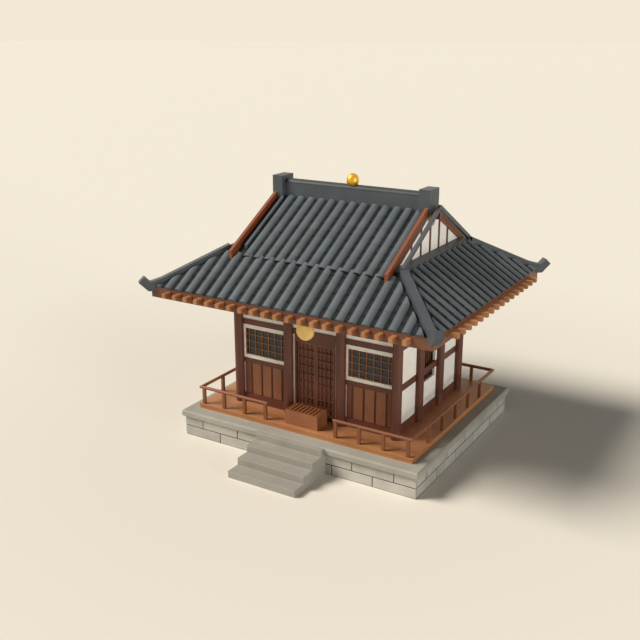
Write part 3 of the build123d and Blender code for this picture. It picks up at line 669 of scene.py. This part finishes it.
def pan_shape(width):
    """A hollow tile lying along Y, tipped so that its lower end rides on the tile below."""
    def shape(mesh):
        length = tile_course + tile_lap
        bmesh.ops.create_grid(mesh, x_segments=pan_facets, y_segments=1, size=0.5)
        for vert in mesh.verts:
            across = 2 * vert.co.x
            vert.co.z = pan_sag * across ** 2 + pan_thickness * (0.5 - vert.co.y)
            vert.co.x *= width
            vert.co.y = (vert.co.y + 0.5) * length
        bmesh.ops.recalc_face_normals(mesh, faces=mesh.faces)
        bmesh.ops.solidify(mesh, geom=mesh.faces[:], thickness=pan_thickness)
        for face in mesh.faces:
            lies_flat = abs(face.normal.z) > 0.7
            face.smooth = lies_flat
    return shape


print("pan tile", pan_thickness, "m thick,", pan_sag, "m deep")

# %% [markdown]
# ## A slope's own axes
# Six slopes face four ways at two pitches. Working out each tile's place in the hall's axes would
# take six sets of sums. Instead a matrix gives a slope its own axes, with X along its eave, Y
# uphill and Z off its surface, so that one flat layout serves them all.


# %% Axes of a slope
def slope_axes(out, reach, level, rise):
    """Axes on a slope: X along its eave, Y up the slope, Z off its surface."""
    out = Vector(out)
    along = Vector((0, 0, 1)).cross(out)
    up = (Vector((0, 0, rise)) - out).normalized()
    axes = Matrix((along, up, along.cross(up))).transposed().to_4x4()
    axes.translation = out * reach + Vector((0, 0, level))
    return axes


steep = slope_axes(out=(0, -1, 0), reach=0, level=0, rise=1)
print("a metre up a slope of 45 degrees climbs", round(steep.col[1].z, 3), "m")

# %% [markdown]
# ## Rows of tiles
# A tiler snaps lines up the slope and lays a row along each. So does this function: covers on the
# lines, pans between them, in courses from the eave up. The last course runs past the top, and is
# cut there as a tiler would cut it. At the hips the rows are cut at a slant.

# %% Rows on a slope
pan_lag = 0.012  # up the slope, from the covers' lower ends to the pans'
pan_tuck = 0.15  # the share of a cover's width that a pan reaches under it


def tile_slope(name, axes, ribs, pitch, start, stop, cuts, share=1.0):
    """Covers on the ribs and pans between them, in courses from start to stop up the slope."""
    courses = [start + tile_course * i for i in range(math.ceil((stop - start) / tile_course))]
    end = (axes @ Vector((0, stop, 0)), axes.to_3x3() @ Vector((0, 1, 0)))
    narrower = Matrix.Diagonal((share, 1.0, 1.0, 1.0))
    covers = [axes @ at(x, s, 0) @ narrower for x in ribs for s in courses]
    # No pans where a bar takes the place of a rib
    gaps = [(a + b) / 2 for a, b in zip(ribs, ribs[1:]) if b - a < 1.5 * pitch]
    gaps = [ribs[0] - pitch / 2, *gaps, ribs[-1] + pitch / 2]
    pans = [axes @ at(x, s + pan_lag, 0) for x in gaps for s in courses]
    pan_width = pitch - (1 - 2 * pan_tuck) * share * cover_width
    repeated(f"cover_tiles_{name}", cover_shape, covers, cover_tile, [*cuts, end])
    repeated(f"pan_tiles_{name}", pan_shape(pan_width), pans, shaded_pan_tile, [*cuts, end])
    return len(covers), len(pans)


print("pans reach", round(pan_tuck * cover_width, 3), "m under the covers")

# %% [markdown]
# ## The skirt roof
# Four slopes run round the hall and meet at the hips. Their rows are spaced from the middle of each
# side, shifted to where the photograph has them. The two end slopes are seen edge on and have
# slimmer covers, which the same shape gives when it is narrowed.

# %% Tiles on the skirt roof
skirt_slope = 0.631
skirt_pitch = 0.39
skirt_row_shift = {"front": -0.065, "rear": 0.065, "right": 0.13, "left": -0.13}
end_cover_share = 0.75
eave_overhang = 0.006
hip_cover = 0.2      # the hip ridges hide the tiles this near to a hip
top_gap = 0.01       # between the tiles and the upper roof
foot_ridge_x = 2.93  # the end slopes stop under the ridge at a gable's foot

eave_x, eave_y, eave_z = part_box("fascia")[1]
upper_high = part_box("upper_roof")[1]
upper_edge = upper_high.y
skirt_stretch = math.hypot(1, skirt_slope)
tile_counts = {}
for name, out, reach, half, top in (
    ("front", (0, -1, 0), eave_y, eave_x, upper_edge + top_gap),
    ("rear", (0, 1, 0), eave_y, eave_x, upper_edge + top_gap),
    ("right", (1, 0, 0), eave_x, eave_y, foot_ridge_x),
    ("left", (-1, 0, 0), eave_x, eave_y, foot_ridge_x),
):
    axes = slope_axes(out, reach, eave_z, skirt_slope)
    side = int(half / skirt_pitch)
    ribs = [skirt_pitch * i + skirt_row_shift[name] for i in range(-side, side + 1)]
    ribs = [x for x in ribs if abs(x) < half - hip_cover]
    along = axes.to_3x3() @ Vector((1, 0, 0))
    outward = Vector(out)
    cuts = []
    for hand in (-1, 1):
        corner = outward * reach + along * hand * half
        normal = (along * hand - outward).normalized()
        cuts.append((corner - normal * hip_cover, normal))
    tile_counts[name] = tile_slope(name, axes, ribs, skirt_pitch, -eave_overhang,
                                   (reach - top) * skirt_stretch, cuts,
                                   end_cover_share if out[0] else 1.0)
print("skirt roof, covers and pans:", tile_counts)

# %% [markdown]
# ## The upper roof
# Two slopes run from the ridge down over the skirt roof, between the boards of the gables. On the
# left end a grey bar lies on the tiles in place of a rib. The lowest covers stand out over the
# skirt roof with their ends showing. Those ends face down the slope into shade, so a short,
# slightly smaller copy of the cover, in the pans' near-black finish, paints that shade on each end.

# %% Tiles on the upper roof
upper_slope = 0.57
upper_pitch = 0.368
upper_row_shift = {"upper_front": -0.045, "upper_rear": 0.045}
half_rows = 7        # rows each side of the middle
edge_overhang = 0.15
verge_x = 2.535      # the tiles stop at the gables' boards
left_bar_x = -2.312  # the middle of the bar that lies on the tiles
ridge_half = 0.15    # level, from the ridge's middle to the last tiles
end_shade_length = 0.03
end_shade_share = 0.94    # of the cover's width and height

upper_edge_z = upper_high.z - upper_slope * upper_edge
upper_stretch = math.hypot(1, upper_slope)
sides = [(Vector((hand * verge_x, 0, 0)), Vector((hand, 0, 0))) for hand in (-1, 1)]
shaded_ends = []
end_shade_size = Matrix.Diagonal((end_shade_share, end_shade_length / (tile_course + tile_lap), end_shade_share, 1.0))
for name, out in (("upper_front", (0, -1, 0)), ("upper_rear", (0, 1, 0))):
    axes = slope_axes(out, upper_edge, upper_edge_z, upper_slope)
    ribs = [upper_pitch * (i + 0.5) + upper_row_shift[name] for i in range(-half_rows, half_rows)]
    ribs = [x for x in ribs if abs(-out[1] * x - left_bar_x) > cover_width / 2]
    shaded_ends += [axes @ at(x, -edge_overhang - end_shade_length / 2, 0) @ end_shade_size
              for x in ribs if abs(x) < verge_x - cover_width / 2]
    tile_counts[name] = tile_slope(name, axes, ribs, upper_pitch, -edge_overhang,
                                   (upper_edge - ridge_half) * upper_stretch, sides)
# Painted shade: these near-black ends stand for the shadow in the covers' lower ends
repeated("cover_end_shade", cover_shape, shaded_ends, shaded_pan_tile)
print("tiles laid, covers and pans:", tile_counts, "shaded ends:", len(shaded_ends))

# %% [markdown]
# ## Stonework
# The platform is ashlar: squared blocks in two courses, with the joints of one course over the
# middles of the blocks in the other. Joints could be drawn in the material, but they would be flat.
# A thin facing of blocks with rounded edges, on the darker core, gives real joints, which catch
# shadow at any angle. Each block starts as a cube, which is stretched to its size and bevelled.

# %% One block
edge_steps = 2


def lay_block(mesh, place, size, edge, tone=None):
    """Adds one block with rounded edges to a mesh, and gives it a tone of its own."""
    made = bmesh.ops.create_cube(mesh, size=1.0, matrix=place @ Matrix.Diagonal((*size, 1.0)))
    edges = list({e for v in made["verts"] for e in v.link_edges})
    rounded = bmesh.ops.bevel(mesh, geom=edges, offset=edge, offset_type="OFFSET",
                              segments=edge_steps, profile=0.5, affect="EDGES", material=-1)
    shade = chance.random()
    if tone:
        for face in {f for v in rounded["verts"] for f in v.link_faces}:
            face[tone] = shade


print("edges are rounded in", edge_steps, "steps")

# %% [markdown]
# ## Courses
# The blocks of the front and back run through to the corners, and those of the sides stop behind
# them. One function finds the middles and lengths of a course's blocks, because every course is
# the same but for the half block at its ends.

# %% Ashlar facing
joint = 0.028
side_joint = 0.04
facing = 0.04  # thickness
facing_proud = 0.014
block_edge = 0.012
front_count, side_count = 6, 5
courses = 2


def course_of_stones(end, half, count, course, gap):
    """Middles and lengths of a course's blocks, out to end; odd courses start on a half."""
    length = 2 * half / count
    lines = [-half + length * (i + course / 2) for i in range(1 - course, count)]
    edges = [-end - gap / 2, *lines, end + gap / 2]
    return [((a + b) / 2, b - a - gap) for a, b in zip(edges, edges[1:])]


base_x, base_y, base_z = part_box("stone_base")[1]
course_height = base_z / courses
front_end = base_x + facing_proud
side_end = base_y + facing_proud - facing - joint
stone_count = 0
mesh = bmesh.new()
tone = mesh.faces.layers.float.new("tone")
for course in range(courses):
    level = course_height * (course + 0.5)
    for hand in (-1, 1):
        y = hand * (base_y + facing_proud - facing / 2)
        for x, length in course_of_stones(front_end, base_x, front_count, course, joint):
            lay_block(mesh, at(x, y, level), (length, facing, course_height - joint), block_edge,
                      tone)
            stone_count += 1
        x = hand * (base_x + facing_proud - facing / 2)
        for y, length in course_of_stones(side_end, base_y, side_count, course, side_joint):
            lay_block(mesh, at(x, y, level), (facing, length, course_height - joint), block_edge,
                      tone)
            stone_count += 1
finished("ashlar_facing", mesh, ashlar_stone)
print("stones in the facing:", stone_count)

# %% [markdown]
# ## Front windows
# A joiner halves slender bars into each other, so that they lie nearly flush. Cut joints would
# never show at this size, so the level bars simply stand a few millimetres behind the upright ones.
# Every bar is a block with eased edges, because a sharp edge catches no light. It is made once, at
# the origin, and then laid at each place like the tiles.


# %% A shape for bars
def soft_block(size, edge):
    """A shape: one block about the origin, with rounded edges."""
    return lambda mesh: lay_block(mesh, Matrix.Identity(4), size, edge)


def lerp(low, high, share):
    """The value a share of the way from low to high."""
    return low + (high - low) * share


print("a third of the way from 0 to 6:", round(lerp(0, 6, 1 / 3), 3))

# %% Lattices of the front windows
front_window_x = 1.83
window_half = 0.73
upright_count, upright_pitch = 6, 0.24
level_count = 3
lattice_bar = 0.034
lattice_depth = 0.02
lattice_step = 0.006
lattice_setback = 0.012
bar_edge = 0.004
fit = 0.01  # what a bar is shorter than its opening

window_low, window_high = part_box("window_frames")
bar_y = window_low.y + lattice_setback
window_height = window_high.z - window_low.z
uprights = [at(side * front_window_x + upright_pitch * (i - (upright_count - 1) / 2), bar_y,
               (window_low.z + window_high.z) / 2)
            for side in (-1, 1) for i in range(upright_count)]
repeated("front_lattice_uprights",
         soft_block((lattice_bar, lattice_depth, window_height - fit), bar_edge), uprights,
         lattice_timber)
levels = [at(side * front_window_x, bar_y + lattice_step,
             lerp(window_low.z, window_high.z, (i + 1) / (level_count + 1)))
          for side in (-1, 1) for i in range(level_count)]
repeated("front_lattice_rails",
         soft_block((2 * window_half - fit, lattice_depth, lattice_bar), bar_edge), levels,
         lattice_timber)
print("front windows:", len(uprights), "upright bars,", len(levels), "level")

# %% [markdown]
# ## Side windows
# A side window has no glass: stout square bars stand between two rails, which are in the frame.
# They could be cut from one board like a comb, but single bars have eased edges all round.

# %% Bars of the side windows
side_bar = 0.032
side_bar_count, side_bar_pitch = 7, 0.137
side_bar_inset = 0.065
side_bar_edge = 0.006

rails_low, rails_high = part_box("side_window_rails")
side_bars = [at(side * (rails_high.x - side_bar_inset),
                side_bar_pitch * (i - (side_bar_count - 1) / 2), (rails_low.z + rails_high.z) / 2)
             for side in (-1, 1) for i in range(side_bar_count)]
repeated("side_window_bars",
         soft_block((side_bar, side_bar, rails_high.z - rails_low.z), side_bar_edge), side_bars,
         slat_timber)
print("side windows:", len(side_bars), "bars")

# %% [markdown]
# ## Door leaves
# The leaves have upright and level bars in the frame. Eight thin level slats lie across them, and
# give the doors their close grid. Their near-black finish is painted shade: they draw the shadow
# lines under the level bars. Lines in the doors' finish would do from afar, but they cast no
# shadow. The slats are fixed to the leaf and swing with it, so each set rides on its own door.

# %% Slats on the door leaves
leaf_stile = 0.06
leaf_rows = 8
slat_depth = 0.012
slat_proud = 0.008
slat_height = 0.02
slat_edge = 0.003

for side in ("left", "right"):
    leaf_low, leaf_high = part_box(f"door_leaf_{side}")
    slat_length = leaf_high.x - leaf_low.x - 2 * leaf_stile
    row = (leaf_high.z - leaf_low.z - leaf_stile) / (leaf_rows + 1)
    slats = [at((leaf_low.x + leaf_high.x) / 2, leaf_low.y - slat_proud + slat_depth / 2,
                (leaf_low.z + leaf_high.z) / 2 + row * (i - (leaf_rows - 1) / 2))
             for i in range(leaf_rows)]
    repeated(f"door_slats_{side}", soft_block((slat_length, slat_depth, slat_height), slat_edge),
             slats, painted_shade_cedar, body=f"{side}_door")
print("door slats:", leaf_rows, "on each leaf")

# %% [markdown]
# ## Boards under the windows
# Under each front window the wall is closed by three broad boards between two narrow stiles, set
# back a little. Grooves drawn in a material would stay flat, so each board is a block in front of
# the dark panel, and the gaps between them are the grooves. The panel's near-black finish is
# painted shade, the shadow in those grooves.

# %% Boards and stiles
board_count, board_pitch = 3, 0.379
board_shift = {-1: 0.095, 1: 0.035}  # of each panel's boards, as the photograph has them
board_gap = 0.068
board_proud, stile_proud = 0.024, 0.014
board_edge = 0.005

panel_low, panel_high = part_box("dado_panels")
panel_half = panel_high.x - front_window_x
boards, stiles = bmesh.new(), bmesh.new()
for side in (-1, 1):
    lines = [board_shift[side] + board_pitch * (i - board_count / 2)
             for i in range(board_count + 1)]
    edges = [-panel_half - board_gap / 2, *lines, panel_half + board_gap / 2]
    for i, (a, b) in enumerate(zip(edges, edges[1:])):
        is_stile = i in (0, board_count + 1)
        mesh, proud = (stiles, stile_proud) if is_stile else (boards, board_proud)
        lay_block(mesh, at(side * front_window_x + (a + b) / 2, panel_low.y,
                           (panel_low.z + panel_high.z) / 2),
                  (b - a - board_gap, 2 * proud, panel_high.z - panel_low.z - fit), board_edge)
print("under each window:", board_count, "boards and 2 stiles")
finished("dado_boards", boards, panel_timber)
finished("dado_stiles", stiles, stile_timber)

# %% [markdown]
# ## The gong
# The gong is a shallow bronze drum with a low domed face, hung by a lug. A maker spins or turns
# such a form, and so does the computer: a profile of a few points goes round an axis. It is round
# from every side, which a bevelled disc is not, and the rounded rim takes a highlight.


# %% Spinning a profile
def spun(name, outline, centre, axis, material, body="hall", steps=64):
    """Spins an outline of radius and height round an axis through centre."""
    mesh = bmesh.new()
    axis = Vector(axis)
    side = axis.orthogonal().normalized()
    made = [mesh.verts.new(Vector(centre) + side * r + axis * h) for r, h in outline]
    edges = [mesh.edges.new(pair) for pair in zip(made, made[1:])]
    bmesh.ops.spin(mesh, geom=made + edges, cent=centre, axis=axis, angle=2 * math.pi,
                   steps=steps, use_merge=True)
    bmesh.ops.remove_doubles(mesh, verts=mesh.verts, dist=1e-5)
    for face in mesh.faces:
        face.smooth = True
    return finished(name, mesh, material, body)


def arc(centre, radius, start, stop, count=6):
    """Points of an arc in the outline's plane, from one angle in degrees to another."""
    angles = [math.radians(lerp(start, stop, i / count)) for i in range(count + 1)]
    return [(centre[0] + radius * math.cos(a), centre[1] + radius * math.sin(a)) for a in angles]


print("a quarter round takes", len(arc((0, 0), 1, 90, 0)), "points")

# %% Gong
drum_share = 0.88   # of the room that the frame keeps for the gong
drum_drop = 0.02
rim_round = 0.035
gong_dome = 0.03
dome_shares = (0, 0.2, 0.4, 0.6, 0.8)
lug_width = 0.06
lug_inset = 0.02
lug_edge = 0.008

gong_low, gong_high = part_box("gong")
gong_space = (gong_high.x - gong_low.x) / 2
gong_radius = drum_share * gong_space
gong_y = (gong_low.y + gong_high.y) / 2
gong_half = (gong_high.y - gong_low.y) / 2
gong_z = gong_low.z + gong_space - drum_drop
rim_radius = gong_radius - rim_round
gong_outline = [
    *((gong_radius * share, gong_half - gong_dome * share ** 2) for share in dome_shares),
    *arc((rim_radius, gong_half - gong_dome - rim_round), rim_round, 90, 0),
    *arc((rim_radius, rim_round - gong_half), rim_round, 0, -90),
    (0, -gong_half),
]
spun("gong_drum", gong_outline, (0, gong_y, gong_z), (0, -1, 0), gong_bronze, body="gong")
lug_low = gong_z + rim_radius
mesh = bmesh.new()
lay_block(mesh, at(0, gong_y, (lug_low + gong_high.z) / 2),
          (lug_width, 2 * (gong_half - lug_inset), gong_high.z - lug_low), lug_edge)
lug = finished("gong_lug", mesh, gong_bronze, body="gong")
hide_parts("gong")
print("gong", round(2 * gong_radius, 3), "m across")

# %% [markdown]
# ## Ridge tiles
# Ten round tiles close the top of the ridge, lapped end to end. They are cover tiles again, only
# longer, wider and turned along the ridge, so the same shape is scaled to their size.

# %% Tiles along the ridge
ridge_tile_count = 10
ridge_tile_length = 0.46
ridge_tile_width = 0.335
ridge_tile_rise = 0.128
ridge_roll = 0.09    # the height of the rounded top that they cover
ridge_end_x = 2.335  # they stop at the right end block

ridge_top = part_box("ridge_beam")[1].z
ridge_reach = ridge_tile_length * ridge_tile_count / 2
ridge_size = Matrix.Diagonal((ridge_tile_width / cover_width, ridge_tile_length / tile_course,
                              ridge_tile_rise / cover_rise, 1.0))
along_ridge = Matrix.Rotation(-math.pi / 2, 4, "Z") @ ridge_size
ridge_places = [at(-ridge_reach + ridge_tile_length * i, 0, ridge_top - ridge_roll) @ along_ridge
                for i in range(ridge_tile_count)]
repeated("ridge_cover_tiles", cover_shape, ridge_places, ridge_cap_tile,
         [(Vector((ridge_end_x, 0, 0)), Vector((1, 0, 0)))])
print("ridge tiles:", len(ridge_places))

# %% [markdown]
# ## Gable bosses
# A gilded boss hangs under the boards of each gable. It is a cast plate. A disc with a bevel would
# be dull, so it is spun like the gong, from a profile with a raised middle and a low rim.

# %% Bosses on the gables
boss_z = 7.01
boss_seat = 0.02
boss_outline = [(0, 0.052), (0.03, 0.05), (0.055, 0.04), (0.07, 0.026), (0.1, 0.022), (0.14, 0.02),
                (0.16, 0.012), (0.168, 0), (0.168, -0.03), (0, -0.03)]

boss_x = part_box("gable_trim")[1].x - boss_seat
for hand, side in ((-1, "left"), (1, "right")):
    spun(f"gable_boss_{side}", boss_outline, (hand * boss_x, 0, boss_z), (hand, 0, 0), gilt,
         steps=40)
print("bosses at", round(boss_x, 3), "m from the middle")

# %% [markdown]
# ## The jewel on the ridge
# A gilded jewel crowns the ridge: an egg with a full belly and a blunt top, on a narrow foot. A
# sphere could be pulled into shape, but a spun profile sets its foot, belly and top one by one. The
# frame holds a plainer, more pointed jewel, so this one takes its place.

# %% Jewel
jewel_seat = 0.03
jewel_outline = [(0, 0), (0.1, 0), (0.14, 0.035), (0.17, 0.085), (0.187, 0.15), (0.188, 0.2),
                 (0.176, 0.26), (0.15, 0.315), (0.11, 0.36), (0.06, 0.388), (0, 0.398)]

jewel = spun("ridge_jewel", jewel_outline, (0, 0, ridge_top - jewel_seat), (0, 0, 1), gilt,
             steps=48)
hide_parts("finial")
print("jewel", jewel_outline[-1][1], "m high")
